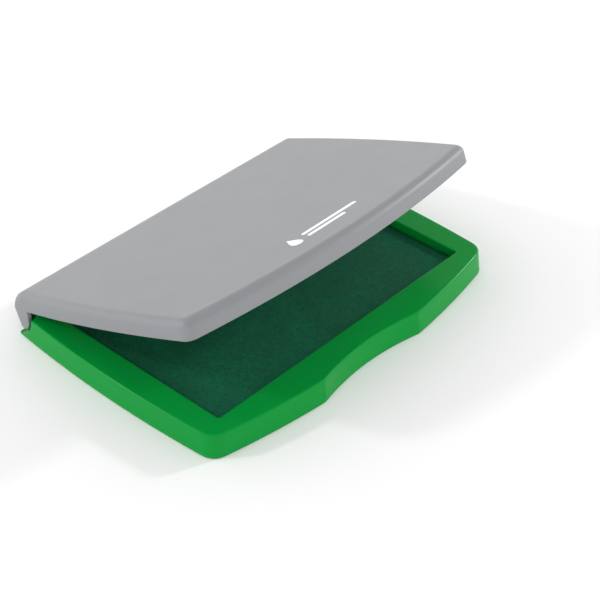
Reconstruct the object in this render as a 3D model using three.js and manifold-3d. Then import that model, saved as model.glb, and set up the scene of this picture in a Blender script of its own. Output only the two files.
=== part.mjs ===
// Desk ink pad with a hinged lid: bowed case, finger notch, inked cloth pad in a well.
// Millimetres, +Z up, +Y towards the hinge, +X to the right of the user.
// The origin is on the desk, under the centre of the inking surface.
import * as THREE from 'three';
import { mergeVertices } from 'three/addons/utils/BufferGeometryUtils.js';
import Module from 'manifold-3d';

const wasm = await Module();
wasm.setup();

// Inking surface and the well that holds it
const padLength = 110;
const padWidth = 70;
const padTop = 5.95; // cloth height above the desk, 2.25 under the rim

// Base case
const baseHeight = 8.2;
const baseHalfWidth = 65; // at the desk, across the middle of the pad
const baseFront = 47.95; // reach of the front bow at the desk
const baseRear = 46.2;
const rimRear = 40; // the back face leans in to clear the turning lid
const sideDraft = 0.76; // what each side wall leans in over its height
const sideBow = 440; // radius of the bowed sides
const frontBow = 269; // radius of the bowed front
const notchHalf = 21.9;
const notchDepth = 2.7;
const baseWall = 1.6;
const rimThickness = 1.6;
const wellWall = 1.4;
const floorThickness = 1.2;

// Lid, as it lies when closed
const lidBottom = 8.7;
const lidTop = 15;
const lidHalfWidth = 63.9;
const lidFront = 46.85;
const lidRear = 47.8;
const lidWall = 1.5;
const lidEdgeRadius = 2.8;
const lidRearRadius = 8.6;
const rearWallBottom = 7.2;

// Hinge
const pivotY = 44.4;
const pivotZ = 4.4;
const pinRadius = 1.25;
const pinLength = 2.1;
const lugRadius = 2.4;
const lugThickness = 2.3;
const earTipRadius = 2.8;
const earTipY = 44.6;
const earTipZ = 4.6;
const earFront = 39.8; // where an ear's front edge leaves the lid's lower edge
const earInner = 60; // the hinge posts' outer faces end just short of this
const openAngle = 21.3; // degrees the lid stands open at rest

const gap = 0.3; // clearance between separate pieces
const past = 1; // cutters run this far past the face that they open
const far = 90; // longer than half the case, for cutters that cross it

const green = 0x0b9a41;
const grey = 0xa6a7aa;

// ---- small tools ----

const evenly = (count, from, to) =>
  Array.from({ length: count + 1 }, (_, i) => from + ((to - from) * i) / count);

const point = (x, y) => new THREE.Vector2(x, y);

// A closed three.js geometry as a manifold solid, for joining and cutting
function solid(geometry) {
  geometry.deleteAttribute('normal');
  geometry.deleteAttribute('uv');
  const merged = mergeVertices(geometry, 1e-4);
  return new wasm.Manifold(
    new wasm.Mesh({
      numProp: 3,
      vertProperties: merged.attributes.position.array,
      triVerts: Uint32Array.from(merged.index.array),
    })
  );
}

function prismGeometry(points, bottom, top) {
  const shape = new THREE.Shape(points);
  const geometry = new THREE.ExtrudeGeometry(shape, { depth: top - bottom, bevelEnabled: false });
  return geometry.translate(0, 0, bottom);
}

const prism = (points, bottom, top) => solid(prismGeometry(points, bottom, top));

// A side view (points in Y and Z) carried along X
function sidePrism(points, left, right) {
  const geometry = prismGeometry(points, left, right);
  const turn = new THREE.Matrix4().makeBasis(
    new THREE.Vector3(0, 1, 0),
    new THREE.Vector3(0, 0, 1),
    new THREE.Vector3(1, 0, 0)
  );
  return solid(geometry.applyMatrix4(turn));
}

function block(left, right, front, back, bottom, top) {
  const geometry = new THREE.BoxGeometry(right - left, back - front, top - bottom);
  return solid(geometry.translate((left + right) / 2, (front + back) / 2, (bottom + top) / 2));
}

const centredBlock = (length, width, bottom, top) =>
  block(-length / 2, length / 2, -width / 2, width / 2, bottom, top);

// A pin or a bore along X, centred on the hinge axis
function hingeRod(radius, left, right) {
  const geometry = new THREE.CylinderGeometry(radius, radius, right - left, 28);
  return solid(geometry.rotateZ(Math.PI / 2).translate((left + right) / 2, pivotY, pivotZ));
}

// The same thing made on the right and on the left
const bothSides = (solidOnRight) => solidOnRight.add(solidOnRight.mirror([1, 0, 0]));

function mesh(name, body, color, roughness) {
  const { vertProperties, triVerts } = body.getMesh();
  const geometry = new THREE.BufferGeometry();
  geometry.setAttribute('position', new THREE.BufferAttribute(vertProperties, 3));
  geometry.setIndex(new THREE.BufferAttribute(triVerts, 1));
  geometry.computeVertexNormals();
  const material = new THREE.MeshStandardMaterial({ color, roughness, metalness: 0 });
  const made = new THREE.Mesh(geometry, material);
  made.name = name;
  return made;
}

// ---- the case outline, shared by base and lid ----

const sideAt = (y, halfWidth) => halfWidth - (y * y) / (2 * sideBow);
const frontAt = (x, front) => -front + (x * x) / (2 * frontBow);

// Plan view: a front edge bowed towards the user, sides bowed outwards, a straight back.
// The notch is a shallow hollow in the front edge with a crisp kink at each end.
function caseOutline({ halfWidth, front, rear, corner, rearCorner, notch = 0 }) {
  const cornerY = frontAt(halfWidth - 2, front);
  const cornerX = sideAt(cornerY, halfWidth);
  const kinkY = frontAt(notchHalf, front);
  const hollow = evenly(8, 0, notchHalf)
    .slice(0, -1)
    .map((x) => point(x, notch ? kinkY + notch * (1 - (x / notchHalf) ** 2) : frontAt(x, front)));
  const bow = evenly(10, notchHalf, cornerX - corner).map((x) => point(x, frontAt(x, front)));
  const frontCorner = new THREE.QuadraticBezierCurve(
    bow.at(-1),
    point(cornerX, cornerY),
    point(sideAt(cornerY + corner, halfWidth), cornerY + corner)
  ).getPoints(6);
  const side = evenly(14, cornerY + corner, rear - rearCorner).map((y) => point(sideAt(y, halfWidth), y));
  const rearX = sideAt(rear, halfWidth);
  const backCorner = new THREE.QuadraticBezierCurve(
    side.at(-1),
    point(rearX, rear),
    point(rearX - rearCorner, rear)
  ).getPoints(5);
  const right = [
    ...hollow,
    ...bow.slice(0, -1),
    ...frontCorner,
    ...side.slice(1, -1),
    ...backCorner,
  ];
  const left = right.slice(1).reverse().map(({ x, y }) => point(-x, y));
  return [...right, ...left];
}

// ---- base ----

// The case outline drawn in by a distance all round
const baseOutline = (inset) =>
  caseOutline({
    halfWidth: baseHalfWidth - inset,
    front: baseFront - inset,
    rear: baseRear - inset,
    corner: 4.5 - inset / 2,
    rearCorner: 1.2,
    notch: notchDepth,
  });

// Draft: every wall leans in as it rises, the back face much more than the others, and the
// sides keep their bow while the back moves forward
function drafted(points, bottom, top) {
  const geometry = prismGeometry(points, bottom, top);
  const position = geometry.attributes.position;
  for (let i = 0; i < position.count; i += 1) {
    const rise = position.getZ(i) / baseHeight;
    const y = position.getY(i);
    const lean = y > 0 ? (baseRear - rimRear) / baseRear : sideDraft / baseFront;
    const moved = y * (1 - lean * rise);
    const spread = sideAt(moved, baseHalfWidth) / sideAt(y, baseHalfWidth);
    position.setX(i, position.getX(i) * (1 - (sideDraft / baseHalfWidth) * rise) * spread);
    position.setY(i, moved);
  }
  return solid(geometry);
}

// Outline of an ear's front edge in side view, from the lid's lower edge down to the tip
const earFrontEdge = (forward) =>
  new THREE.QuadraticBezierCurve(
    point(earFront - forward, lidBottom),
    point(earFront + 0.1 - forward, 5.4 - forward),
    point(42.5 - forward, 2.72 - forward)
  ).getPoints(8);

// Solid posts in the rear corners carry the hinge lugs
const postInner = 56.5;
const postFront = 33.5;
const cornerPosts = (slack) =>
  bothSides(block(postInner - slack, far, postFront - slack, far, -past, baseHeight));

// Room outside each post for the lid's ear, down to a thin ledge
const ledgeTop = 0.7;
const pocketForward = 0.8; // the pocket's front edge runs this far ahead of the ear's
const earPocket = bothSides(
  sidePrism(
    [
      ...earFrontEdge(pocketForward),
      point(pivotY - 0.5, ledgeTop),
      point(far, ledgeTop),
      point(far, far),
      point(earFront - pocketForward, far),
    ],
    earInner - gap,
    far
  )
);

// The shell is hollow under the rim: a channel runs round between the outer wall and the well
function baseShell() {
  const wellWalls = centredBlock(
    padLength + 2 * wellWall,
    padWidth + 2 * wellWall,
    floorThickness + gap,
    far
  );
  const inside = drafted(baseOutline(baseWall), -past, baseHeight - rimThickness)
    .subtract(wellWalls)
    .subtract(cornerPosts(0));
  const lugs = bothSides(hingeRod(lugRadius, earInner - gap - lugThickness, earInner - gap));
  const bores = bothSides(hingeRod(pinRadius + gap, earInner - gap - lugThickness - gap, far));
  return drafted(baseOutline(0), 0, baseHeight)
    .subtract(inside)
    .subtract(centredBlock(padLength, padWidth, -past, baseHeight + past))
    .subtract(earPocket)
    .add(lugs)
    .subtract(bores);
}

const baseFloor = () =>
  drafted(baseOutline(baseWall + gap), 0, floorThickness).subtract(cornerPosts(gap));

// ---- pad: cloth stretched over felt in a tray ----

const clothThickness = 0.45;
const clothSide = 0.4;
const clothLength = padLength - 2 * gap;
const clothWidth = padWidth - 2 * gap;
const trayLength = clothLength - 2 * (clothSide + gap);
const trayWidth = clothWidth - 2 * (clothSide + gap);
const frameBottom = floorThickness + gap;
const frameThickness = 0.6;
const trayBottom = frameBottom + frameThickness + gap;
const trayFloor = 0.7;
const trayWall = 0.9;
const trayRim = 4.3;
const feltLength = trayLength - 2 * (trayWall + gap);
const feltWidth = trayWidth - 2 * (trayWall + gap);
const feltTopThickness = 0.7;
const clothUnderside = padTop - clothThickness;

const padTray = () =>
  centredBlock(trayLength, trayWidth, trayBottom, trayRim).subtract(
    centredBlock(trayLength - 2 * trayWall, trayWidth - 2 * trayWall, trayBottom + trayFloor, far)
  );

// Flat ring that clamps the cloth's hem under the tray
const hemFrame = () =>
  centredBlock(trayLength, trayWidth, frameBottom, frameBottom + frameThickness).subtract(
    centredBlock(trayLength - 8, trayWidth - 8, -past, far)
  );

const feltReservoir = () =>
  centredBlock(
    feltLength,
    feltWidth,
    trayBottom + trayFloor + gap,
    clothUnderside - feltTopThickness - 2 * gap
  );

const feltTop = () =>
  centredBlock(trayLength, trayWidth, clothUnderside - gap - feltTopThickness, clothUnderside - gap).subtract(
    centredBlock(far * 2, far * 2, -past, trayRim + gap / 2)
  );

// The cloth lies flat on top and is drawn down the tray's four sides
const padCloth = () =>
  centredBlock(clothLength, clothWidth, frameBottom + gap, padTop).subtract(
    centredBlock(clothLength - 2 * clothSide, clothWidth - 2 * clothSide, -past, clothUnderside)
  );

// ---- lid ----

const lidOutline = (inset) =>
  caseOutline({
    halfWidth: lidHalfWidth - inset,
    front: lidFront - inset,
    rear: lidRear - inset,
    corner: 4.6 - inset / 2,
    rearCorner: 3.4 - inset,
  });

// Rounded back of the lid in side view: a quarter circle from the top down to the rear face
const rearRound = (inset) =>
  evenly(8, Math.PI / 2, 0).map((angle) =>
    point(
      lidRear - lidRearRadius + (lidRearRadius - inset) * Math.cos(angle),
      lidTop - lidRearRadius + (lidRearRadius - inset) * Math.sin(angle)
    )
  );

// Rounded tip of an ear, from the rear face round to the front edge
const earTip = () =>
  evenly(8, 0, (-136 * Math.PI) / 180).map((angle) =>
    point(earTipY + earTipRadius * Math.cos(angle), earTipZ + earTipRadius * Math.sin(angle))
  );

function lidShell() {
  const rounded = new THREE.ExtrudeGeometry(new THREE.Shape(lidOutline(0)), {
    depth: lidTop,
    bevelThickness: lidEdgeRadius,
    bevelSize: lidEdgeRadius,
    bevelOffset: -lidEdgeRadius,
    bevelSegments: 4,
  });
  const sideView = [
    point(-far, lidBottom),
    point(-far, far),
    point(lidRear - lidRearRadius, far),
    ...rearRound(0),
    ...earTip(),
    ...earFrontEdge(0).reverse(),
  ];
  const innerView = [
    point(-far, -far),
    point(-far, lidTop - lidWall),
    ...rearRound(lidWall),
    point(lidRear - lidWall, -far),
  ];
  const hollow = prism(lidOutline(lidWall), -far, lidTop).intersect(sidePrism(innerView, -far, far));
  const betweenEars = block(-earInner, earInner, lidBottom, far, -far, rearWallBottom);
  const pins = bothSides(hingeRod(pinRadius, earInner - pinLength, earInner + lidWall / 2));
  return solid(rounded.translate(0, 0, -lidEdgeRadius))
    .intersect(sidePrism(sideView, -far, far))
    .subtract(hollow)
    .subtract(betweenEars)
    .add(pins);
}

// Insert under the lid: a panel with a rib that drops into the well and keeps the ink moist
const insertTop = lidTop - lidWall - gap;
const insertPanel = 0.8;
const ribOutset = 0.6; // clearance of the rib inside the well
const ribThickness = 1.2;
const ribBottom = 7.4;

function lidInsert() {
  const ribLength = padLength - 2 * ribOutset;
  const ribWidth = padWidth - 2 * ribOutset;
  const panel = prism(
    caseOutline({
      halfWidth: lidHalfWidth - lidWall - 2 * gap,
      front: lidFront - lidWall - 2 * gap,
      rear: lidRear - lidRearRadius,
      corner: 3,
      rearCorner: 2,
    }),
    insertTop - insertPanel,
    insertTop
  );
  const rib = centredBlock(ribLength, ribWidth, ribBottom, insertTop - insertPanel / 2).subtract(
    centredBlock(ribLength - 2 * ribThickness, ribWidth - 2 * ribThickness, -far, far)
  );
  return panel.add(rib);
}

// Foam ring round the rib that closes on the rim
const gasketWidth = 2.4;

const lidGasket = () =>
  centredBlock(
    padLength + 2 * gasketWidth,
    padWidth + 2 * gasketWidth,
    baseHeight + gap,
    insertTop - insertPanel - gap
  ).subtract(centredBlock(padLength, padWidth, -far, far));

// ---- assembly ----

const base = new THREE.Group();
base.add(
  mesh('base_shell', baseShell(), green, 0.35),
  mesh('base_floor', baseFloor(), green, 0.45),
  mesh('hem_frame', hemFrame(), 0x2c2f31, 0.6),
  mesh('pad_tray', padTray(), 0x2c2f31, 0.5),
  mesh('felt_reservoir', feltReservoir(), 0x0f3b2a, 0.95),
  mesh('felt_top', feltTop(), 0x0f3b2a, 0.95),
  mesh('pad_cloth', padCloth(), 0x104b34, 0.9)
);

// The lid's pieces are drawn closed, then turned open about the hinge axis
const lid = new THREE.Group();
lid.add(
  mesh('lid_shell', lidShell(), grey, 0.45),
  mesh('lid_insert', lidInsert(), 0xd9dad8, 0.5),
  mesh('lid_gasket', lidGasket(), 0x3a3d3f, 0.9)
);
lid.position.set(0, -pivotY, -pivotZ);

const hinge = new THREE.Group();
hinge.add(lid);
hinge.position.set(0, pivotY, pivotZ);
hinge.rotation.x = THREE.MathUtils.degToRad(-openAngle);

const inkPad = new THREE.Group();
inkPad.add(base, hinge);

export default inkPad;
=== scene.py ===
import math

import bmesh
import bpy
import numpy as np
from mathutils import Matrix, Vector


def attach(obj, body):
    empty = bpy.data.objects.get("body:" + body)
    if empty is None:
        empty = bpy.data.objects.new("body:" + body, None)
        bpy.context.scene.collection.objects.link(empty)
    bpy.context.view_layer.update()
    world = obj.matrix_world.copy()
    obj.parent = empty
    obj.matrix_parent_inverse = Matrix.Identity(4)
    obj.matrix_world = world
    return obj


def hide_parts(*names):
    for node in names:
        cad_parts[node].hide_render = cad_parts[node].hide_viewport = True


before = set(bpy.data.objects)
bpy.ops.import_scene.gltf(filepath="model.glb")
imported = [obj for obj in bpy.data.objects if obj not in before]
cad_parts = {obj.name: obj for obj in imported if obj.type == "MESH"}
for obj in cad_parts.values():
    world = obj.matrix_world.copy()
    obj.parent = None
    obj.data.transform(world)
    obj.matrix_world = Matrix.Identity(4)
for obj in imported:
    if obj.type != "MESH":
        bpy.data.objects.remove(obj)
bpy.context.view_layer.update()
print("frame: nodes", ", ".join(sorted(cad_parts)))

mm = 0.001

# Where the hinge axis runs and how far the lid stands open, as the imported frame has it
hinge = {"y": 44.4, "z": 4.4, "open": 21.3}


def sweep(count, start=0.0, end=90.0):
    # evenly spaced angles in radians, both ends included
    return np.radians(np.linspace(start, end, count))


def quadratic(ends, count):
    # points of the quadratic curve (1-t)^2 a + 2t(1-t) b + t^2 d
    a, b, d = np.array(ends)
    t = np.linspace(0, 1, count)[:, None]
    return (1 - t) ** 2 * a + 2 * t * (1 - t) * b + t**2 * d


def softCorner(before, corner, after, count=5):
    # a quadratic curve in place of a corner, ends left out
    return quadratic((before, corner, after), count + 2)[1:-1]


def level(plan, z):
    # plan points lifted to one height, or each to a height of its own
    return np.column_stack([plan, np.broadcast_to(z, len(plan))])


def gridQuads(rows, columns, closeRows=False, closeColumns=True):
    # quads between neighbouring grid points; a closed direction joins its last line to its first
    i = np.arange(rows if closeRows else rows - 1)[:, None]
    j = np.arange(columns if closeColumns else columns - 1)[None, :]
    below, after = (i + 1) % rows, (j + 1) % columns
    corners = (i * columns + j, i * columns + after, below * columns + after, below * columns + j)
    return np.stack(np.broadcast_arrays(*corners), axis=-1).reshape(-1, 4)


def lidOpened(points):
    # turned about the hinge axis: y' = y cos a + z sin a, z' = z cos a - y sin a
    a = math.radians(hinge["open"])
    y, z = points[:, 1] - hinge["y"], points[:, 2] - hinge["z"]
    return np.column_stack([
        points[:, 0],
        hinge["y"] + y * math.cos(a) + z * math.sin(a),
        hinge["z"] + z * math.cos(a) - y * math.sin(a),
    ])


def newObject(name, points, faces):
    mesh = bpy.data.meshes.new(name)
    mesh.from_pydata((np.asarray(points) * mm).tolist(), [], faces)
    made = bpy.data.objects.new(name, mesh)
    bpy.context.collection.objects.link(made)
    tidyFaces(made)
    return made


def meshPoints(mesh):
    # a mesh's vertices as an array of millimetre points
    flat = np.empty(len(mesh.vertices) * 3, np.float32)
    mesh.vertices.foreach_get("co", flat)
    return flat.reshape(-1, 3).astype(float) / mm


def setPoints(mesh, points):
    mesh.vertices.foreach_set("co", (points * mm).astype(np.float32).ravel())
    mesh.update()


def tidyFaces(made):
    # doubles merged, then every face turned outwards
    work = bmesh.new()
    work.from_mesh(made.data)
    bmesh.ops.remove_doubles(work, verts=work.verts, dist=1e-7)
    bmesh.ops.recalc_face_normals(work, faces=work.faces)
    work.to_mesh(made.data)
    work.free()


def loftObject(name, rows, capFirst=False, capLast=False, closeRows=False, turn=None):
    # rows of equal length joined into one skin; the end rows may be capped with one flat face
    points = np.concatenate(rows)
    columns = len(rows[0])
    faces = gridQuads(len(rows), columns, closeRows).tolist()
    if capFirst:
        faces.append(list(range(columns)))
    if capLast:
        faces.append(list(range(len(points) - columns, len(points))))
    return newObject(name, points if turn is None else turn(points), faces)


def applyModifier(made, kind, **settings):
    # adds a modifier, then keeps its result as the mesh
    step = made.modifiers.new(kind.lower(), kind)
    for key, value in settings.items():
        setattr(step, key, value)
    graph = bpy.context.evaluated_depsgraph_get()
    result = bpy.data.meshes.new_from_object(made.evaluated_get(graph))
    made.modifiers.clear()
    old = made.data
    made.data = result
    bpy.data.meshes.remove(old)


def smoothShade(made, sharpAngle=38.0):
    # smooth faces with the large flat ones keeping their own direction, creases kept
    made.data.shade_smooth()
    made.data.set_sharp_from_angle(angle=math.radians(sharpAngle))
    weighted = made.modifiers.new("weightedNormals", "WEIGHTED_NORMAL")
    weighted.keep_sharp = True
    weighted.weight = 80


def mirrored(points):
    return points * np.array([-1.0, 1.0, 1.0])


def rod(radius, left, right, y, z, sides=56):
    # points and faces of a closed cylinder along X
    a = sweep(sides + 1, 0, 360)[:-1]
    ring = np.column_stack([y + radius * np.cos(a), z + radius * np.sin(a)])
    ends = [np.column_stack([np.full(sides, x), ring]) for x in (left, right)]
    faces = gridQuads(2, sides).tolist() + [list(range(sides)), list(range(sides, 2 * sides))]
    return np.concatenate(ends), faces


def sidePrism(sideView, left, right):
    # points and faces of a side view (Y, Z) carried along X
    count = len(sideView)
    ends = [np.column_stack([np.full(count, x), sideView]) for x in (left, right)]
    faces = gridQuads(2, count).tolist() + [list(range(count)), list(range(count, 2 * count))]
    return np.concatenate(ends), faces


def bothSides(name, shape):
    # the same closed shape on the right and on the left, as one object
    points, faces = shape
    doubled = np.concatenate([points, mirrored(points)])
    return newObject(name, doubled, faces + [[i + len(points) for i in face] for face in faces])


def booleanWith(made, operation, tool):
    applyModifier(made, "BOOLEAN", operation=operation, object=tool, solver="EXACT")
    bpy.data.objects.remove(tool)


# Radii of the bowed edges, half the notch's length, how far the front corner's apex lies from the
# widest point, and how many points each stretch of the outline has
bow = {"sides": 440.0, "front": 269.0, "kink": 21.9, "kinkZone": 1.2, "cornerReach": 2.0}
outlineSteps = {"hollow": 34, "kink": 15, "front": 36, "corner": 13, "side": 84, "back": 60}


def sideBow(y, halfWidth):
    # distance of a bowed side from the middle: x = halfWidth - y^2 / 2R
    return halfWidth - y**2 / (2 * bow["sides"])


def frontBow(x, front):
    # place of the bowed front edge: y = x^2 / 2R - front
    return -front + x**2 / (2 * bow["front"])


def caseOutline(case, inset=0.0):
    # Right half, front middle to back middle, then its mirror image. The notch, if there is one, is a
    # parabola joined to the front bow by a smooth maximum; the corners are quadratic curves.
    halfWidth, front, rear = (case[key] - inset for key in ("halfWidth", "front", "rear"))
    corner = case["corner"] - inset / 2
    rearCorner = case["rearCorner"] - inset * case.get("rearCornerShare", 0)
    cornerY = frontBow(halfWidth - bow["cornerReach"], front)
    cornerX = sideBow(cornerY, halfWidth)
    kink, zone, steps = bow["kink"], bow["kinkZone"], outlineSteps
    x = np.concatenate([
        np.linspace(0, kink - zone, steps["hollow"])[:-1],
        np.linspace(kink - zone, kink + zone, steps["kink"])[:-1],
        np.linspace(kink + zone, cornerX - corner, steps["front"]),
    ])
    y = frontBow(x, front)
    if "notchDepth" in case:
        hollow = frontBow(kink, front) + case["notchDepth"] * (1 - (x / kink) ** 2)
        y = (y + hollow) / 2 + np.sqrt(((hollow - y) / 2) ** 2 + case["kinkSoft"] ** 2)
    bowLine = np.column_stack([x, y])
    sideY = np.linspace(cornerY + corner, rear - rearCorner, steps["side"])
    side = np.column_stack([sideBow(sideY, halfWidth), sideY])
    rearX = sideBow(rear, halfWidth)
    backX = np.linspace(rearX - rearCorner, 0, steps["back"])
    back = np.column_stack([backX, np.full_like(backX, rear)])
    half = np.concatenate([
        bowLine,
        softCorner(bowLine[-1], (cornerX, cornerY), side[0], steps["corner"]),
        side,
        softCorner(side[-1], (rearX, rear), back[0], steps["corner"]),
        back,
    ])
    return np.concatenate([half, half[1:-1][::-1] * [-1, 1]])


def outwardNormals(outline):
    # a closed outline's tangent is the step from the point before to the point after
    tangent = np.roll(outline, -1, axis=0) - np.roll(outline, 1, axis=0)
    tangent /= np.linalg.norm(tangent, axis=1)[:, None]
    return np.column_stack([tangent[:, 1], -tangent[:, 0]])


well = {"halfLength": 55.0, "halfWidth": 35.0, "corner": 0.6}


def wellRing(outline, outset):
    # The nearest point to each outline point on the well's rounded rectangle, moved out by outset.
    # Outwards the corner radius grows; inwards it stays and the rectangle shrinks.
    inner = np.array([well["halfLength"], well["halfWidth"]]) - well["corner"] + min(outset, 0)
    held = np.clip(outline, -inner, inner)
    away = outline - held
    away /= np.linalg.norm(away, axis=1)[:, None]
    return held + away * (well["corner"] + max(outset, 0))


def srgb(hexCode):
    # an sRGB hex value as linear RGBA
    value = np.array([int(hexCode[i:i + 2], 16) for i in (1, 3, 5)]) / 255
    linear = np.where(value <= 0.04045, value / 12.92, ((value + 0.055) / 1.055) ** 2.4)
    return (*linear.tolist(), 1.0)


def addNode(tree, kind, sockets=None, **settings):
    # one node: settings are its own properties, sockets are fixed values or links from other nodes
    made = tree.nodes.new(kind)
    for key, value in settings.items():
        setattr(made, key, value)
    for key, value in (sockets or {}).items():
        if isinstance(value, bpy.types.NodeSocket):
            tree.links.new(value, made.inputs[key])
        else:
            made.inputs[key].default_value = value
    return made


def startMaterial(name):
    made = bpy.data.materials.new(name)
    made.use_nodes = True
    made.node_tree.nodes.clear()
    place = addNode(made.node_tree, "ShaderNodeTexCoord").outputs["Object"]
    return made, made.node_tree, place


def finishMaterial(made, sockets):
    shader = addNode(made.node_tree, "ShaderNodeBsdfPrincipled", sockets)
    addNode(made.node_tree, "ShaderNodeOutputMaterial", {"Surface": shader.outputs["BSDF"]})
    return made


def perMillimetre(size):
    # texture scale that makes one feature of a noise or cell pattern this many millimetres wide
    return 1 / (size * mm)


waveLength = 2 * math.pi / 20  # a wave texture's bands repeat at this distance when its scale is 1


def mouldedPlastic(name, look):
    # Injection-moulded plastic. The spark-eroded mould leaves a fine even grain that breaks the
    # highlight, the melt leaves faint broad flow shading, and handling leaves duller patches.
    made, tree, place = startMaterial(name)
    flow = addNode(tree, "ShaderNodeTexNoise", {
        "Vector": place, "Scale": perMillimetre(look["flowSize"]), "Detail": 2.0, "Roughness": 0.45})
    colour = addNode(tree, "ShaderNodeMix", {
        0: flow.outputs["Fac"], 6: srgb(look["shade"]), 7: srgb(look["colour"])}, data_type="RGBA")
    wear = addNode(tree, "ShaderNodeTexNoise", {
        "Vector": place, "Scale": perMillimetre(look["wearSize"]), "Detail": 5.0, "Roughness": 0.6})
    gloss = addNode(tree, "ShaderNodeMapRange", {
        "Value": wear.outputs["Fac"], "From Min": 0.35, "From Max": 0.7,
        "To Min": look["roughness"][0], "To Max": look["roughness"][1]})
    grain = addNode(tree, "ShaderNodeTexNoise", {
        "Vector": place, "Scale": perMillimetre(look["grainSize"]), "Detail": 3.0, "Roughness": 0.6})
    bump = addNode(tree, "ShaderNodeBump", {
        "Height": grain.outputs["Fac"], "Strength": look["grainStrength"],
        "Distance": look["grainDepth"] * mm})
    return finishMaterial(made, {
        "Base Color": colour.outputs[2], "Roughness": gloss.outputs["Result"], "IOR": 1.55,
        "Specular IOR Level": look["specular"], "Normal": bump.outputs["Normal"]})


def inkedWeave(name, look):
    # Plain-woven cotton soaked with ink. Warp and weft rise over each other in a chequer, the yarn
    # is uneven, ink fills the gaps and lies thicker in soft patches, and fibre ends catch the light.
    made, tree, place = startMaterial(name)
    threads = []
    for axis in ("X", "Y"):
        threads.append(addNode(tree, "ShaderNodeTexWave", {
            "Vector": place, "Scale": waveLength * perMillimetre(look["thread"]), "Distortion": 2.6,
            "Detail": 2.0, "Detail Scale": 1.0}, bands_direction=axis))
    weave = addNode(tree, "ShaderNodeMath", {
        0: threads[0].outputs["Fac"], 1: threads[1].outputs["Fac"]}, operation="MULTIPLY")
    fibre = addNode(tree, "ShaderNodeTexNoise", {
        "Vector": place, "Scale": perMillimetre(look["fibre"]), "Detail": 3.0, "Roughness": 0.7})
    slub = addNode(tree, "ShaderNodeTexNoise", {
        "Vector": place, "Scale": perMillimetre(look["slub"]), "Detail": 4.0, "Roughness": 0.65})
    pooled = addNode(tree, "ShaderNodeTexNoise", {
        "Vector": place, "Scale": perMillimetre(look["pool"]), "Detail": 3.0, "Roughness": 0.55})
    speckle = addNode(tree, "ShaderNodeMath", {
        0: weave.outputs["Value"], 1: look["weaveShare"], 2: fibre.outputs["Fac"]},
        operation="MULTIPLY_ADD")
    uneven = addNode(tree, "ShaderNodeMath", {
        0: slub.outputs["Fac"], 1: look["slubShare"], 2: speckle.outputs["Value"]},
        operation="MULTIPLY_ADD")
    amount = addNode(tree, "ShaderNodeMapRange", {
        "Value": uneven.outputs["Value"], "From Min": look["range"][0], "From Max": look["range"][1]})
    thread = addNode(tree, "ShaderNodeMix", {
        0: amount.outputs["Result"], 6: srgb(look["gap"]), 7: srgb(look["colour"])}, data_type="RGBA")
    soaked = addNode(tree, "ShaderNodeMapRange", {
        "Value": pooled.outputs["Fac"], "From Min": 0.38, "From Max": 0.66,
        "To Min": 0.0, "To Max": look["poolAmount"]})
    colour = addNode(tree, "ShaderNodeMix", {
        0: soaked.outputs["Result"], 6: thread.outputs[2], 7: srgb(look["wet"])}, data_type="RGBA")
    gloss = addNode(tree, "ShaderNodeMapRange", {
        "Value": pooled.outputs["Fac"], "From Min": 0.38, "From Max": 0.66, "To Min": 0.88, "To Max": 0.72})
    bump = addNode(tree, "ShaderNodeBump", {
        "Height": uneven.outputs["Value"], "Strength": 0.7, "Distance": look["depth"] * mm})
    return finishMaterial(made, {
        "Base Color": colour.outputs[2], "Roughness": gloss.outputs["Result"], "IOR": 1.45,
        "Specular IOR Level": 0.25, "Sheen Weight": 0.08, "Sheen Roughness": 0.4,
        "Sheen Tint": srgb(look["fuzz"]), "Normal": bump.outputs["Normal"]})


def pressedFibre(name, look):
    # Needled wool felt: short fibres in every direction, darker where the ink has soaked deeper.
    made, tree, place = startMaterial(name)
    strands = addNode(tree, "ShaderNodeTexNoise", {
        "Vector": place, "Scale": perMillimetre(look["strand"]), "Detail": 6.0, "Roughness": 0.75,
        "Distortion": 1.5})
    colour = addNode(tree, "ShaderNodeMix", {
        0: strands.outputs["Fac"], 6: srgb(look["shade"]), 7: srgb(look["colour"])}, data_type="RGBA")
    bump = addNode(tree, "ShaderNodeBump", {
        "Height": strands.outputs["Fac"], "Strength": 0.9, "Distance": look["depth"] * mm})
    return finishMaterial(made, {
        "Base Color": colour.outputs[2], "Roughness": 0.95, "IOR": 1.5, "Normal": bump.outputs["Normal"]})


def cellFoam(name, look):
    # Closed-cell sealing foam: a skin of small round cells with pits where cells are cut open; painted
    # shade darkens each pit.
    made, tree, place = startMaterial(name)
    cells = addNode(tree, "ShaderNodeTexVoronoi", {
        "Vector": place, "Scale": perMillimetre(look["cell"])}, feature="F1")
    pitDepthAndShade = addNode(tree, "ShaderNodeMapRange", {
        "Value": cells.outputs["Distance"], "From Min": 0.15, "From Max": 0.6})
    # painted shade: the colour darkens towards each pit's middle, where the bump sinks deepest
    colour = addNode(tree, "ShaderNodeMix", {
        0: pitDepthAndShade.outputs["Result"], 6: srgb(look["shade"]), 7: srgb(look["colour"])}, data_type="RGBA")
    bump = addNode(tree, "ShaderNodeBump", {
        "Height": pitDepthAndShade.outputs["Result"], "Strength": 0.9, "Distance": look["depth"] * mm})
    return finishMaterial(made, {
        "Base Color": colour.outputs[2], "Roughness": 0.88, "IOR": 1.5, "Normal": bump.outputs["Normal"]})


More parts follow.
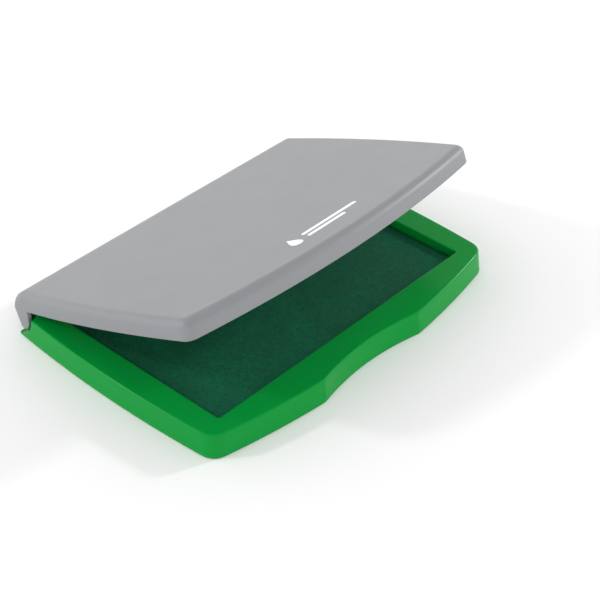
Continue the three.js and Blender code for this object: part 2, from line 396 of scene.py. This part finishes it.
# Sizes are in millimetres. The green is glossier than the grey but mirrors little, so its specular
# level is low and its walls keep a pure colour.
greenStyrene = mouldedPlastic("greenHighImpactStyrene", {
    "colour": "#009438", "shade": "#008d35", "flowSize": 45, "wearSize": 9, "roughness": (0.2, 0.26),
    "specular": 0.12, "grainSize": 0.5, "grainStrength": 0.25, "grainDepth": 0.012})
greyStyrene = mouldedPlastic("greySatinStyrene", {
    "colour": "#848689", "shade": "#828487", "flowSize": 70, "wearSize": 12, "roughness": (0.43, 0.47),
    "specular": 0.5, "grainSize": 0.45, "grainStrength": 0.35, "grainDepth": 0.016})
paleStyrene = mouldedPlastic("palePolishedStyrene", {
    "colour": "#c9cac5", "shade": "#c2c3be", "flowSize": 40, "wearSize": 8, "roughness": (0.38, 0.5),
    "specular": 0.5, "grainSize": 0.6, "grainStrength": 0.25, "grainDepth": 0.012})
darkPolypropylene = mouldedPlastic("darkMouldedPolypropylene", {
    "colour": "#2c2f31", "shade": "#25282a", "flowSize": 30, "wearSize": 6, "roughness": (0.45, 0.6),
    "specular": 0.4, "grainSize": 0.5, "grainStrength": 0.3, "grainDepth": 0.015})
# Cotton of about 28 threads a centimetre, drawn at 11 a centimetre so that the weave shows
inkedCotton = inkedWeave("inkedPlainWeaveCotton", {
    "thread": 0.9, "fibre": 0.5, "slub": 1.6, "pool": 13, "poolAmount": 0.4, "depth": 0.05,
    "weaveShare": 0.15, "slubShare": 0.5, "range": (0.45, 0.95),
    "colour": "#0d704e", "gap": "#083726", "wet": "#084831", "fuzz": "#287a5c"})
woolFelt = pressedFibre("inkSoakedWoolFelt", {
    "strand": 0.35, "depth": 0.15, "colour": "#14503a", "shade": "#0a2c1f"})
# the foam's shade colour is painted shade for its cut-open pits
sealFoam = cellFoam("closedCellSealFoam", {
    "cell": 0.45, "depth": 0.12, "colour": "#4a4d50", "shade": "#2a2c2e"})
# Silicone-pad printed ink: a thin satin film that takes on the plastic's grain
padPrint = mouldedPlastic("whitePadPrintInk", {
    "colour": "#f2f3f4", "shade": "#eceded", "flowSize": 10, "wearSize": 3, "roughness": (0.4, 0.5),
    "specular": 0.5, "grainSize": 0.4, "grainStrength": 0.2, "grainDepth": 0.01})
print("materials:", len(bpy.data.materials))


baseCase = {
    "halfWidth": 65.0, "front": 47.95, "rear": 46.2, "corner": 4.5, "rearCorner": 1.2,
    "notchDepth": 2.7, "kinkSoft": 0.05, "height": 8.2, "rearTop": 40.0, "sideDraft": 0.76,
    "wall": 1.6, "rim": 1.6, "wellWall": 1.4, "wellFoot": 1.5, "wellRound": 0.35, "footRound": 0.4,
    "sideRound": 0.5, "frontRound": 0.7, "frontFrom": 0.25, "frontTo": 0.9,
    "rimShares": (0.04, 0.25, 0.5, 0.75, 0.96), "postInner": 56.5, "postFront": 33.5,
}


def baseDraft(plan, z):
    # Walls lean in with height: x and y shrink in proportion, the back far more than the rest,
    # and x follows the bow of the side to where the point has moved
    half = baseCase["halfWidth"]
    rise = np.broadcast_to(z, len(plan)) / baseCase["height"]
    back = 1 - baseCase["rearTop"] / baseCase["rear"]
    lean = np.where(plan[:, 1] > 0, back, baseCase["sideDraft"] / baseCase["front"])
    moved = plan[:, 1] * (1 - lean * rise)
    spread = sideBow(moved, half) / sideBow(plan[:, 1], half)
    return np.column_stack([plan[:, 0] * (1 - baseCase["sideDraft"] / half * rise) * spread, moved])


def buildBaseCase():
    # A closed profile carried round the outline: up the well wall, over the rim, down the outside,
    # under the edge and up the hollow inside, with quarter-circle roundings between. The outer
    # rounding grows from the sides to the front by a smoothstep of how far the wall faces forward.
    c = baseCase
    top = c["height"]
    outer = caseOutline(c)
    inner = caseOutline(c, c["wall"])
    normal = outwardNormals(outer)
    facing = np.clip((-normal[:, 1] - c["frontFrom"]) / (c["frontTo"] - c["frontFrom"]), 0, 1)
    rounding = c["sideRound"] + (c["frontRound"] - c["sideRound"]) * facing**2 * (3 - 2 * facing)
    onPost = (np.abs(outer[:, 0]) > c["postInner"]) & (outer[:, 1] > c["postFront"])
    ceiling = np.where(onPost, 0.0, top - c["rim"])
    rows = [level(wellRing(outer, 0), z) for z in np.linspace(c["wellFoot"], top - c["wellRound"], 5)]
    for a in sweep(7)[1:]:
        rows.append(level(
            wellRing(outer, c["wellRound"] * (1 - np.cos(a))),
            top - c["wellRound"] * (1 - np.sin(a))))
    rimInner, rimOuter = rows[-1][:, :2], baseDraft(outer - normal * rounding[:, None], top)
    for t in c["rimShares"]:
        rows.append(level(rimInner + (rimOuter - rimInner) * t, top))
    for a in sweep(9):
        inset, z = rounding * (1 - np.sin(a)), top - rounding * (1 - np.cos(a))
        rows.append(level(baseDraft(outer - normal * inset[:, None], z), z))
    for z in np.linspace(rows[-1][:, 2], np.full(len(outer), c["footRound"]), 6)[1:-1]:
        rows.append(level(baseDraft(outer, z), z))
    for a in sweep(6):
        inset, z = c["footRound"] * (1 - np.cos(a)), c["footRound"] * (1 - np.sin(a))
        rows.append(level(baseDraft(outer - normal * inset, z), z))
    rows.append(level(baseDraft(inner, 0), 0))
    rows.append(level(baseDraft(inner, ceiling), ceiling))
    rows.append(level(wellRing(outer, c["wellWall"]), ceiling))
    rows.append(level(wellRing(outer, c["wellWall"]), c["wellFoot"]))
    return loftObject("case_shell", rows, closeRows=True)


hingeCut = {
    "wall": 59.7, "ledge": 0.7, "ledgeFront": 43.9, "lugRadius": 2.4, "lugInner": 57.4, "lugOuter": 59.68,
    "boreRadius": 1.55, "boreInner": 57.1, "far": 80.0, "above": 20.0,
    "frontEdge": ((39.0, 8.7), (39.1, 4.6), (41.7, 1.92)),
}


def cutHinge(case):
    # A pocket outside each rear post for the lid's ear, its front edge a quadratic curve in side
    # view; then a lug on each post and a bore through it.
    c = hingeCut
    curve = quadratic(c["frontEdge"], 40)
    sideView = np.concatenate([
        [[curve[0, 0], c["above"]]], curve,
        [[c["ledgeFront"], c["ledge"]], [c["far"], c["ledge"]], [c["far"], c["above"]]],
    ])
    booleanWith(case, "DIFFERENCE", bothSides("pocket", sidePrism(sideView, c["wall"], c["far"])))
    lug = rod(c["lugRadius"], c["lugInner"], c["lugOuter"], hinge["y"], hinge["z"])
    booleanWith(case, "UNION", bothSides("lug", lug))
    bore = rod(c["boreRadius"], c["boreInner"], c["far"], hinge["y"], hinge["z"])
    booleanWith(case, "DIFFERENCE", bothSides("bore", bore))
    tidyFaces(case)


caseShell = buildBaseCase()
cutHinge(caseShell)
smoothShade(caseShell)
caseShell.data.materials.append(greenStyrene)
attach(caseShell, "base")
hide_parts("base_shell")
print("base case:", len(caseShell.data.polygons), "faces")


lidCase = {
    "halfWidth": 63.9, "front": 46.85, "rear": 47.8, "corner": 3.0, "rearCorner": 1.9,
    "rearCornerShare": 1.0, "top": 15.0, "bottom": 8.7, "wall": 1.5, "edge": 2.8, "flatRear": 39.2,
    "rearRadius": 8.6, "rearEdge": 1.6, "rearBottom": 7.2, "lipRound": 0.35, "innerRound": 0.25,
    "earInner": 60.0, "earStart": 39.2, "earFront": ((39.8, 8.7), (39.9, 5.4), (42.5, 2.72)),
    "earSkip": 3, "tipY": 44.6, "tipZ": 4.6, "tipRadius": 2.8, "tipStart": -134, "cutRise": 0.5,
    "cutRound": 0.4, "tipGap": 2.0, "tipRise": 0.1, "topGaps": (0.1, 0.05), "capShare": 0.004,
    "sideZone": 8.0, "backZone": 30.0, "postZone": 38.0, "sideBend": -40.0,
    "pinRadius": 1.25, "pinInner": 57.9, "pinOuter": 60.75,
}


def lidEdgePath(arcOf, backArc, cutArc):
    # The lower edge in the unrolled wall, (distance along the outline, height): level at the front
    # and side, down the ear's curved front edge, round its tip, up its back edge, level at the rear.
    # Also the distances along the outline at which the same columns of the wall start at the top.
    c = lidCase
    low, rear = c["bottom"], c["rearBottom"]
    bend = arcOf(c["sideBend"])
    flat = np.concatenate([np.linspace(0, bend, 90)[:-1], np.linspace(bend, arcOf(c["earStart"]), 95)])
    parts = [np.column_stack([flat, np.full_like(flat, low)])]
    front = quadratic(c["earFront"], 22)
    front = np.column_stack([arcOf(front[:, 0]), front[:, 1]])
    parts.append(softCorner(parts[0][-1], front[0], front[c["earSkip"]]))
    parts.append(front[c["earSkip"]:])
    lastAngle = -math.degrees(math.acos(min(1.0, (yAtCut() - c["tipY"]) / c["tipRadius"])))
    a = sweep(20, c["tipStart"], lastAngle - c["tipGap"])
    tip = np.column_stack([
        arcOf(c["tipY"] + c["tipRadius"] * np.cos(a)), c["tipZ"] + c["tipRadius"] * np.sin(a)])
    parts.append(tip)
    cutLow = np.array([cutArc, tip[-1, 1] + c["cutRise"]])
    cutHigh = np.array([cutArc, rear - c["cutRound"]])
    parts.append(softCorner(tip[-1], np.array([cutArc, tip[-1, 1] + c["tipRise"]]), cutLow, 3))
    parts.append(np.column_stack([np.full(6, cutArc), np.linspace(cutLow[1], cutHigh[1], 6)]))
    backStart = np.array([cutArc + c["cutRound"], rear])
    parts.append(softCorner(cutHigh, np.array([cutArc, rear]), backStart, 4))
    back = np.linspace(backStart[0], backArc, 76)
    parts.append(np.column_stack([back, np.full_like(back, rear)]))
    path = np.concatenate(parts)
    # tops of the columns: straight above where the edge is level, spread evenly over the ear
    first, last = len(parts[0]), len(path) - len(back)
    tops = path[:, 0].copy()
    ahead, behind = c["topGaps"]
    tops[first:last] = np.linspace(path[first - 1, 0] + ahead, cutArc - behind, last - first)
    return path, tops


def yAtCut():
    # where the lid's rear corner curve, a quadratic in t, crosses the ear's inner face: x(t) is solved
    # for t, then y = rear - corner (1 - t)^2
    c = lidCase
    start = sideBow(c["rear"] - c["rearCorner"], c["halfWidth"])
    turn = sideBow(c["rear"], c["halfWidth"])
    end = turn - c["rearCorner"]
    a, b, d = start - 2 * turn + end, 2 * (turn - start), start - c["earInner"]
    t = (-b - math.sqrt(b * b - 4 * a * d)) / (2 * a)
    return c["rear"] - c["rearCorner"] * (1 - t) ** 2


def buildLidShell():
    # Columns run from the flat top over the rounded edge, down the wall, round the lower edge and
    # back up the inside. Where the lower edge is level, a column keeps its place along the outline.
    c = lidCase
    outline = caseOutline(c)
    half = outline[: len(outline) // 2 + 1]
    normals = outwardNormals(outline)[: len(half)]
    arc = np.concatenate([[0], np.cumsum(np.linalg.norm(np.diff(half, axis=0), axis=1))])
    sideStart = int(np.argmax(half[:, 0] > c["halfWidth"] - c["sideZone"]))
    upTo = int(np.argmax(half[:, 1] >= c["rear"] - 1e-9)) + 1
    arcOf = lambda y: np.interp(y, half[sideStart:upTo, 1], arc[sideStart:upTo])
    cutArc = float(arcOf(yAtCut()))
    path, tops = lidEdgePath(arcOf, arc[-1], cutArc)

    def onWall(s, depth):
        # plan point at distance s along the outline, sunk into the wall by depth
        spot = np.column_stack([np.interp(s, arc, half[:, k]) for k in (0, 1)])
        facing = np.column_stack([np.interp(s, arc, normals[:, k]) for k in (0, 1)])
        facing /= np.linalg.norm(facing, axis=1)[:, None]
        return spot - facing * depth

    # direction into the wall, square to the lower edge, in the unrolled view
    along = np.gradient(path, axis=0)
    along /= np.linalg.norm(along, axis=1)[:, None]
    into = np.column_stack([-along[:, 1], along[:, 0]])
    into[0], into[-1] = (0, 1), (0, 1)
    flatPlan = onWall(tops, c["edge"])
    flatPlan[:, 1] = np.minimum(flatPlan[:, 1], c["flatRear"])
    atBack = path[:, 0] > arcOf(c["backZone"])
    flatPlan[atBack, 0] = np.minimum.accumulate(flatPlan[atBack, 0])

    def roundedTop(depth, edgeOffset):
        # From the flat top to the wall. Over the front and sides a column falls as a quarter circle;
        # at the back it lies on the rear cylinder, z = zAxis + sqrt(R^2 - y^2), and still falls as a
        # quarter circle towards the side. It stops short where the lower edge cuts it.
        wall = onWall(tops, depth)
        radius = c["rearRadius"] - depth
        edge = c["edge"] - depth
        edgeHere = edge + (c["rearEdge"] - c["edge"]) * np.clip((wall[:, 1] - c["flatRear"]) / radius, 0, 1)

        def pointsAt(angle):
            plan = flatPlan + (wall - flatPlan) * np.sin(angle)[:, None]
            back = np.clip(plan[:, 1] - c["flatRear"], 0, radius)
            fromSide = sideBow(plan[:, 1], c["halfWidth"] - depth) - plan[:, 0]
            short = np.where(atBack, np.clip(edgeHere - fromSide, 0, edgeHere), edge * np.sin(angle))
            fall = edgeHere - np.sqrt(edgeHere**2 - short**2)
            return level(plan, c["top"] - c["rearRadius"] + np.sqrt(radius**2 - back**2) - fall)

        stop = (path + into * edgeOffset)[:, 1] + c["lipRound"]
        tries = sweep(361)
        heights = np.array([pointsAt(np.full(len(tops), angle))[:, 2] for angle in tries])
        last = tries[np.sum(heights >= stop, axis=0) - 1]
        made = [pointsAt(last * share) for share in np.linspace(0, 1, 13)]
        return made, made[-1][:, 2]

    def wallRows(depth, shoulder, edgeOffset, steps):
        # straight in the unrolled view, from the shoulder down to just short of the lower edge
        foot = path + into * edgeOffset
        made = []
        for t in np.linspace(0, 1, steps)[1:]:
            s = tops + (foot[:, 0] - tops) * t
            z = shoulder + (foot[:, 1] - shoulder) * t
            made.append(level(onWall(s, depth), z))
        return made

    outer, shoulder = roundedTop(0.0, c["lipRound"])
    rows = [outer[0] + (np.array([0, 0, c["top"]]) - outer[0]) * c["capShare"]] + outer
    rows += wallRows(0.0, shoulder, c["lipRound"], 7)
    for a in sweep(6)[1:]:
        foot = path + into * c["lipRound"] * (1 - math.sin(a))
        rows.append(level(onWall(foot[:, 0], c["lipRound"] * (1 - math.cos(a))), foot[:, 1]))
    for a in sweep(4):
        foot = path + into * c["innerRound"] * (1 - math.cos(a))
        depth = c["wall"] - c["innerRound"] * (1 - math.sin(a))
        rows.append(level(onWall(foot[:, 0], depth), foot[:, 1]))
    inner, innerShoulder = roundedTop(c["wall"], c["innerRound"])
    rows += wallRows(c["wall"], innerShoulder, c["innerRound"], 7)[-2::-1]
    rows += inner[::-1]
    # the ears stay clear of the hinge posts between them
    whole = []
    for row in rows:
        row = row.copy()
        held = (row[:, 2] < c["rearBottom"]) & (row[:, 1] > c["postZone"])
        row[held, 0] = np.maximum(row[held, 0], c["earInner"])
        whole.append(np.concatenate([row, mirrored(row[1:-1][::-1])]))
    return loftObject("lid_cover", whole, capFirst=True, capLast=True)


lidCover = buildLidShell()
pins = bothSides("pins", rod(
    lidCase["pinRadius"], lidCase["pinInner"], lidCase["pinOuter"], hinge["y"], hinge["z"]))
booleanWith(lidCover, "UNION", pins)
tidyFaces(lidCover)
setPoints(lidCover.data, lidOpened(meshPoints(lidCover.data)))
smoothShade(lidCover)
lidCover.data.materials.append(greyStyrene)
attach(lidCover, "lid")
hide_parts("lid_shell")
print("lid cover:", len(lidCover.data.polygons), "faces")


insertPanel = {
    "halfWidth": 61.8, "front": 44.75, "rear": 39.2, "corner": 3.0, "rearCorner": 2.0,
    "top": 13.2, "bottom": 12.4, "edgeRound": 0.25, "ribOut": -0.6, "ribIn": -1.8, "ribFoot": 7.4,
    "ribRound": 0.4, "rootRound": 0.5, "faceInset": 6.0,
}
sealRing = {"inner": 0.02, "outer": 2.4, "bottom": 8.5, "top": 12.1, "squareness": 5}


def buildInsert():
    # panel underside inside the rib, down and up the rib with a rounded foot, out to the panel's
    # rounded edge and over its top; roots are quarter-circle fillets
    c = insertPanel
    outline = caseOutline(c)
    normal = outwardNormals(outline)
    root, foot, edge = c["rootRound"], c["ribRound"], c["edgeRound"]
    rows = [level(wellRing(outline, c["ribIn"] - c["faceInset"]), c["bottom"])]
    for a in sweep(6):
        rows.append(level(
            wellRing(outline, c["ribIn"] - root * (1 - np.sin(a))), c["bottom"] - root * (1 - np.cos(a))))
    for a in sweep(6):
        rows.append(level(
            wellRing(outline, c["ribIn"] + foot * (1 - np.cos(a))), c["ribFoot"] + foot * (1 - np.sin(a))))
    for a in sweep(6)[::-1]:
        rows.append(level(
            wellRing(outline, c["ribOut"] - foot * (1 - np.cos(a))), c["ribFoot"] + foot * (1 - np.sin(a))))
    for a in sweep(6)[::-1]:
        rows.append(level(
            wellRing(outline, c["ribOut"] + root * (1 - np.sin(a))), c["bottom"] - root * (1 - np.cos(a))))
    for height, turn in ((c["bottom"], 1), (c["top"], -1)):
        for a in (sweep(5) if turn > 0 else sweep(5)[::-1]):
            inset = edge * (1 - np.sin(a))
            rows.append(level(outline - normal * inset, height + turn * edge * (1 - np.cos(a))))
    return loftObject("ink_keeper_insert", rows, capFirst=True, capLast=True, turn=lidOpened)


def buildSeal():
    # a rounded rectangular section carried round the rib: the superellipse |cos|^n + |sin|^n = 1 in
    # its own width and height
    c = sealRing
    n = c["squareness"]
    outline = caseOutline(insertPanel)
    centre = ((c["inner"] + c["outer"]) / 2, (c["bottom"] + c["top"]) / 2)
    halfWide, halfHigh = (c["outer"] - c["inner"]) / 2, (c["top"] - c["bottom"]) / 2
    rows = []
    for a in sweep(29, 0, 360)[:-1]:
        bulge = (abs(math.cos(a)) ** n + abs(math.sin(a)) ** n) ** (-1 / n)
        rows.append(level(
            wellRing(outline, centre[0] + halfWide * bulge * math.cos(a)),
            centre[1] + halfHigh * bulge * math.sin(a)))
    return loftObject("foam_seal_ring", rows, closeRows=True, turn=lidOpened)


keeperInsert = buildInsert()
smoothShade(keeperInsert)
keeperInsert.data.materials.append(paleStyrene)
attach(keeperInsert, "lid")
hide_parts("lid_insert")

sealPiece = buildSeal()
smoothShade(sealPiece, 60)
sealPiece.data.materials.append(sealFoam)
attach(sealPiece, "lid")
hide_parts("lid_gasket")
print("insert and seal: done")


lidMark = {
    "y": -34.2, "thick": 0.05, "sink": 0.03, "bars": ((-7.5, 16.5, 1.15), (-7.5, 9.0, -1.45)),
    "barHigh": 1.5, "dropX": -12.3, "dropSpread": 2.96774, "dropHigh": 6.4,
}


def markOutlines():
    # a plain ink drop, x = spread sin a sin(a/2)^1.5 and y = (high / 2) cos a, beside two bars with
    # half-circle ends
    c = lidMark
    a = sweep(49, 0, 360)[:-1]
    across = c["dropSpread"] * np.sin(a) * np.sin(a / 2) ** 1.5
    outlines = [np.column_stack([c["dropX"] + across, c["y"] + np.cos(a) * c["dropHigh"] / 2])]
    r, b = c["barHigh"] / 2, sweep(13, -90, 90)
    for left, right, up in c["bars"]:
        rightEnd = np.column_stack([right - r + r * np.cos(b), c["y"] + up + r * np.sin(b)])
        leftEnd = [left + right, 2 * (c["y"] + up)] - rightEnd
        outlines.append(np.concatenate([rightEnd, leftEnd]))
    return outlines


def buildMark():
    # each outline drawn up from just under the lid's face to the print's thickness above it
    points, faces, start = [], [], 0
    low, high = lidCase["top"] - lidMark["sink"], lidCase["top"] + lidMark["thick"]
    for outline in markOutlines():
        count = len(outline)
        points += [level(outline, low), level(outline, high)]
        faces += (gridQuads(2, count) + start).tolist()
        faces += [list(range(start, start + count)), list(range(start + count, start + 2 * count))]
        start += 2 * count
    return newObject("lid_print", lidOpened(np.concatenate(points)), faces)


lidPrint = buildMark()
smoothShade(lidPrint)
lidPrint.data.materials.append(padPrint)
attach(lidPrint, "lid")
print("mark: done")


inkPad = {
    "halfLength": 54.7, "halfWidth": 34.7, "flat": 5.5, "crown": 0.42, "edgeRound": 1.0, "foot": 1.8,
    "thick": 0.4, "under": 5.26, "cells": (76, 48), "edgeLines": (0.0, 0.1, 0.3, 0.6, 1.0),
    "firstCell": 1.6, "footRound": 0.15, "footShare": 0.998, "outsideFrom": 4.0,
    "insideAt": (1.8, 2.1, 3.0, 4.96), "heldEdge": 0.5, "heldDrop": 0.15,
    "pressure": 60.0, "frames": 20, "quality": 6, "mass": 0.002, "stretch": 15, "bend": 0.05,
    "limit": 1.6, "quickFade": 6.0,
}


def padLines(half, count):
    # grid lines across the pad, closer together where the edge rounds over
    close = half - np.array(inkPad["edgeLines"])
    reach = half - inkPad["firstCell"]
    middle = np.linspace(-reach, reach, count)
    return np.concatenate([-close, middle, close[::-1]])


def borderOf(count, across):
    # indices round the edge of a grid of count rows and across columns
    grid = np.arange(count * across).reshape(count, across)
    return np.concatenate([grid[0, :-1], grid[:-1, -1], grid[-1, :0:-1], grid[:0:-1, 0]])


def buildPad():
    # Two sheets joined by the sides, which hang from the outer edge to the foot and come back up
    # inside. The top sheet is flat and drops at its edge as a quarter circle,
    # z = flat - r + sqrt(r^2 - (r - d)^2) at distance d from the edge.
    c = inkPad
    x, y = padLines(c["halfLength"], c["cells"][0]), padLines(c["halfWidth"], c["cells"][1])
    gx, gy = np.meshgrid(x, y)
    fromEdge = np.minimum(c["halfLength"] - np.abs(gx), c["halfWidth"] - np.abs(gy))
    r = c["edgeRound"]
    short = np.clip(r - fromEdge, 0, r)
    top = np.column_stack([gx.ravel(), gy.ravel(), (c["flat"] - r + np.sqrt(r * r - short**2)).ravel()])
    shrink = [1 - c["thick"] / c["halfLength"], 1 - c["thick"] / c["halfWidth"], 0]
    under = top * shrink + [0, 0, c["under"]]
    edge = borderOf(len(y), len(x))
    points = [top, under]
    rings = [edge]
    start = 2 * len(top)
    outside, inside = top[edge], under[edge]
    foot, pulledIn = c["foot"], outside * [c["footShare"], c["footShare"], 1]
    heights = [(outside, z) for z in np.linspace(c["outsideFrom"], foot + c["footRound"], 4)]
    heights += [(pulledIn, foot)]
    heights += [(inside, z) for z in c["insideAt"]]
    for ring, z in heights:
        points.append(level(ring[:, :2], z))
        rings.append(np.arange(start, start + len(edge)))
        start += len(edge)
    rings.append(edge + len(top))
    faces = gridQuads(len(y), len(x), closeColumns=False)
    quads = [faces, faces[:, ::-1] + len(top)]
    for a, b in zip(rings[:-1], rings[1:]):
        quads.append(np.column_stack([a, b, np.roll(b, -1), np.roll(a, -1)]))
    return newObject("inked_pad", np.concatenate(points), np.concatenate(quads).tolist())


def swellPad(pad):
    # The stretched cloth is simulated: its rim and sides are held, pressure lifts the rest, and the
    # rise is capped, rise' = crown tanh(k rise / top rise) / tanh(k).
    c = inkPad
    before = meshPoints(pad.data)
    fromEdge = np.minimum(c["halfLength"] - np.abs(before[:, 0]), c["halfWidth"] - np.abs(before[:, 1]))
    free = (before[:, 2] > c["flat"] - c["heldDrop"]) & (fromEdge > c["heldEdge"])
    rise = np.zeros(len(before))
    held = pad.vertex_groups.new(name="held")
    held.add(np.flatnonzero(~free).tolist(), 1.0, "REPLACE")
    cloth = pad.modifiers.new("cloth", "CLOTH")
    settings = cloth.settings
    settings.quality = c["quality"]
    settings.mass = c["mass"]
    settings.tension_stiffness = settings.compression_stiffness = c["stretch"]
    settings.bending_stiffness = c["bend"]
    settings.vertex_group_mass = held.name
    settings.effector_weights.gravity = 0
    settings.use_pressure = True
    settings.uniform_pressure_force = c["pressure"]
    cloth.point_cache.frame_start, cloth.point_cache.frame_end = 1, c["frames"]
    for step in range(1, c["frames"] + 1):
        bpy.context.scene.frame_set(step)
    graph = bpy.context.evaluated_depsgraph_get()
    swollen = bpy.data.meshes.new_from_object(pad.evaluated_get(graph))
    rise = np.where(free, meshPoints(swollen)[:, 2] - before[:, 2], 0)
    pad.modifiers.clear()
    pad.vertex_groups.clear()
    bpy.data.meshes.remove(swollen)
    bpy.context.scene.frame_set(1)
    print("pad: raw rise", round(float(rise.max()), 4), "mm")
    rise = np.clip(rise, 0, None) / max(rise.max(), 1e-9)
    before[:, 2] += c["crown"] * np.tanh(c["limit"] * rise) / math.tanh(c["limit"])
    setPoints(pad.data, before)


pad = buildPad()
swellPad(pad)
pad.data.shade_smooth()
rounded = pad.modifiers.new("rounded", "SUBSURF")
rounded.levels = rounded.render_levels = 1
pad.data.materials.append(inkedCotton)
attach(pad, "base")
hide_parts("pad_cloth")
print("pad:", len(pad.data.polygons), "faces")


nodeFinish = {
    "base_floor": greenStyrene, "hem_frame": darkPolypropylene, "pad_tray": darkPolypropylene,
    "felt_reservoir": woolFelt, "felt_top": woolFelt,
}
for name, finish in nodeFinish.items():
    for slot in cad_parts[name].material_slots:
        slot.material = finish
print("carried over:", ", ".join(nodeFinish))


# Metres and watts
studio = {
    "floor": "#fafafa", "floorHalf": 3.0, "floorSink": 0.0001,
    "horizon": 1.95, "zenith": 0.68, "fadeFrom": 0.08, "fadeTo": 0.5,
    "lights": {
        "topSoftbox": {"at": (-0.25, 0.5, 1.05), "size": 0.9, "power": 1.85},
        "rightStrip": {"at": (0.97, -0.42, 0.5), "size": 0.1, "power": 3.8},
        "backLeftBox": {"at": (-0.9, 0.8, 0.8), "size": 0.14, "power": 4.0},
    },
}
# "back" points from the object towards the camera; lens and sensor are millimetres, the rest metres
cameraView = {
    "lens": 97.0, "sensor": 36.0, "eye": (-0.2937, -0.2861, 0.3197), "back": (-0.5815, -0.5343, 0.6135),
    "nearest": 0.01, "farthest": 50.0,
}

# uncoated white background paper: no pattern shows in it, only soft shadow
floorMesh = bpy.data.meshes.new("floor")
floorCorners = np.array([(-1, -1, 0), (1, -1, 0), (1, 1, 0), (-1, 1, 0)]) * studio["floorHalf"]
floorMesh.from_pydata(floorCorners.tolist(), [], [(0, 1, 2, 3)])
floor = bpy.data.objects.new("floor", floorMesh)
bpy.context.collection.objects.link(floor)
floor.location.z = -studio["floorSink"]
matte = startMaterial("matteWhitePaper")[0]
finishMaterial(matte, {"Base Color": srgb(studio["floor"]), "Roughness": 0.9})
floor.data.materials.append(matte)

# white cove at the horizon, dimmer ceiling: brightness falls with the height of the direction
world = bpy.data.worlds.new("studioCove")
bpy.context.scene.world = world
world.use_nodes = True
cove = world.node_tree
cove.nodes.clear()
direction = addNode(cove, "ShaderNodeTexCoord").outputs["Generated"]
height = addNode(cove, "ShaderNodeSeparateXYZ", {"Vector": direction}).outputs["Z"]
brightness = addNode(cove, "ShaderNodeMapRange", {
    "Value": height, "From Min": studio["fadeFrom"], "From Max": studio["fadeTo"],
    "To Min": studio["horizon"], "To Max": studio["zenith"]}, interpolation_type="SMOOTHSTEP")
background = addNode(cove, "ShaderNodeBackground", {
    "Color": (1, 1, 1, 1), "Strength": brightness.outputs["Result"]})
addNode(cove, "ShaderNodeOutputWorld", {"Surface": background.outputs["Background"]})


def softLight(name, place, size, power):
    # a round area light that faces the origin
    lamp = bpy.data.lights.new(name, "AREA")
    lamp.shape = "DISK"
    lamp.size, lamp.energy = size, power
    made = bpy.data.objects.new(name, lamp)
    bpy.context.collection.objects.link(made)
    made.location = place
    made.rotation_mode = "QUATERNION"
    made.rotation_quaternion = made.location.to_track_quat("Z", "Y")


for name, light in studio["lights"].items():
    softLight(name, light["at"], light["size"], light["power"])

camera = bpy.data.objects.new("camera", bpy.data.cameras.new("camera"))
bpy.context.collection.objects.link(camera)
camera.data.sensor_width, camera.data.lens = cameraView["sensor"], cameraView["lens"]
camera.data.clip_start, camera.data.clip_end = cameraView["nearest"], cameraView["farthest"]
camera.location = cameraView["eye"]
camera.rotation_mode = "QUATERNION"
camera.rotation_quaternion = Vector(cameraView["back"]).to_track_quat("Z", "Y")
bpy.context.scene.camera = camera
bpy.context.scene.view_settings.view_transform = "Standard"
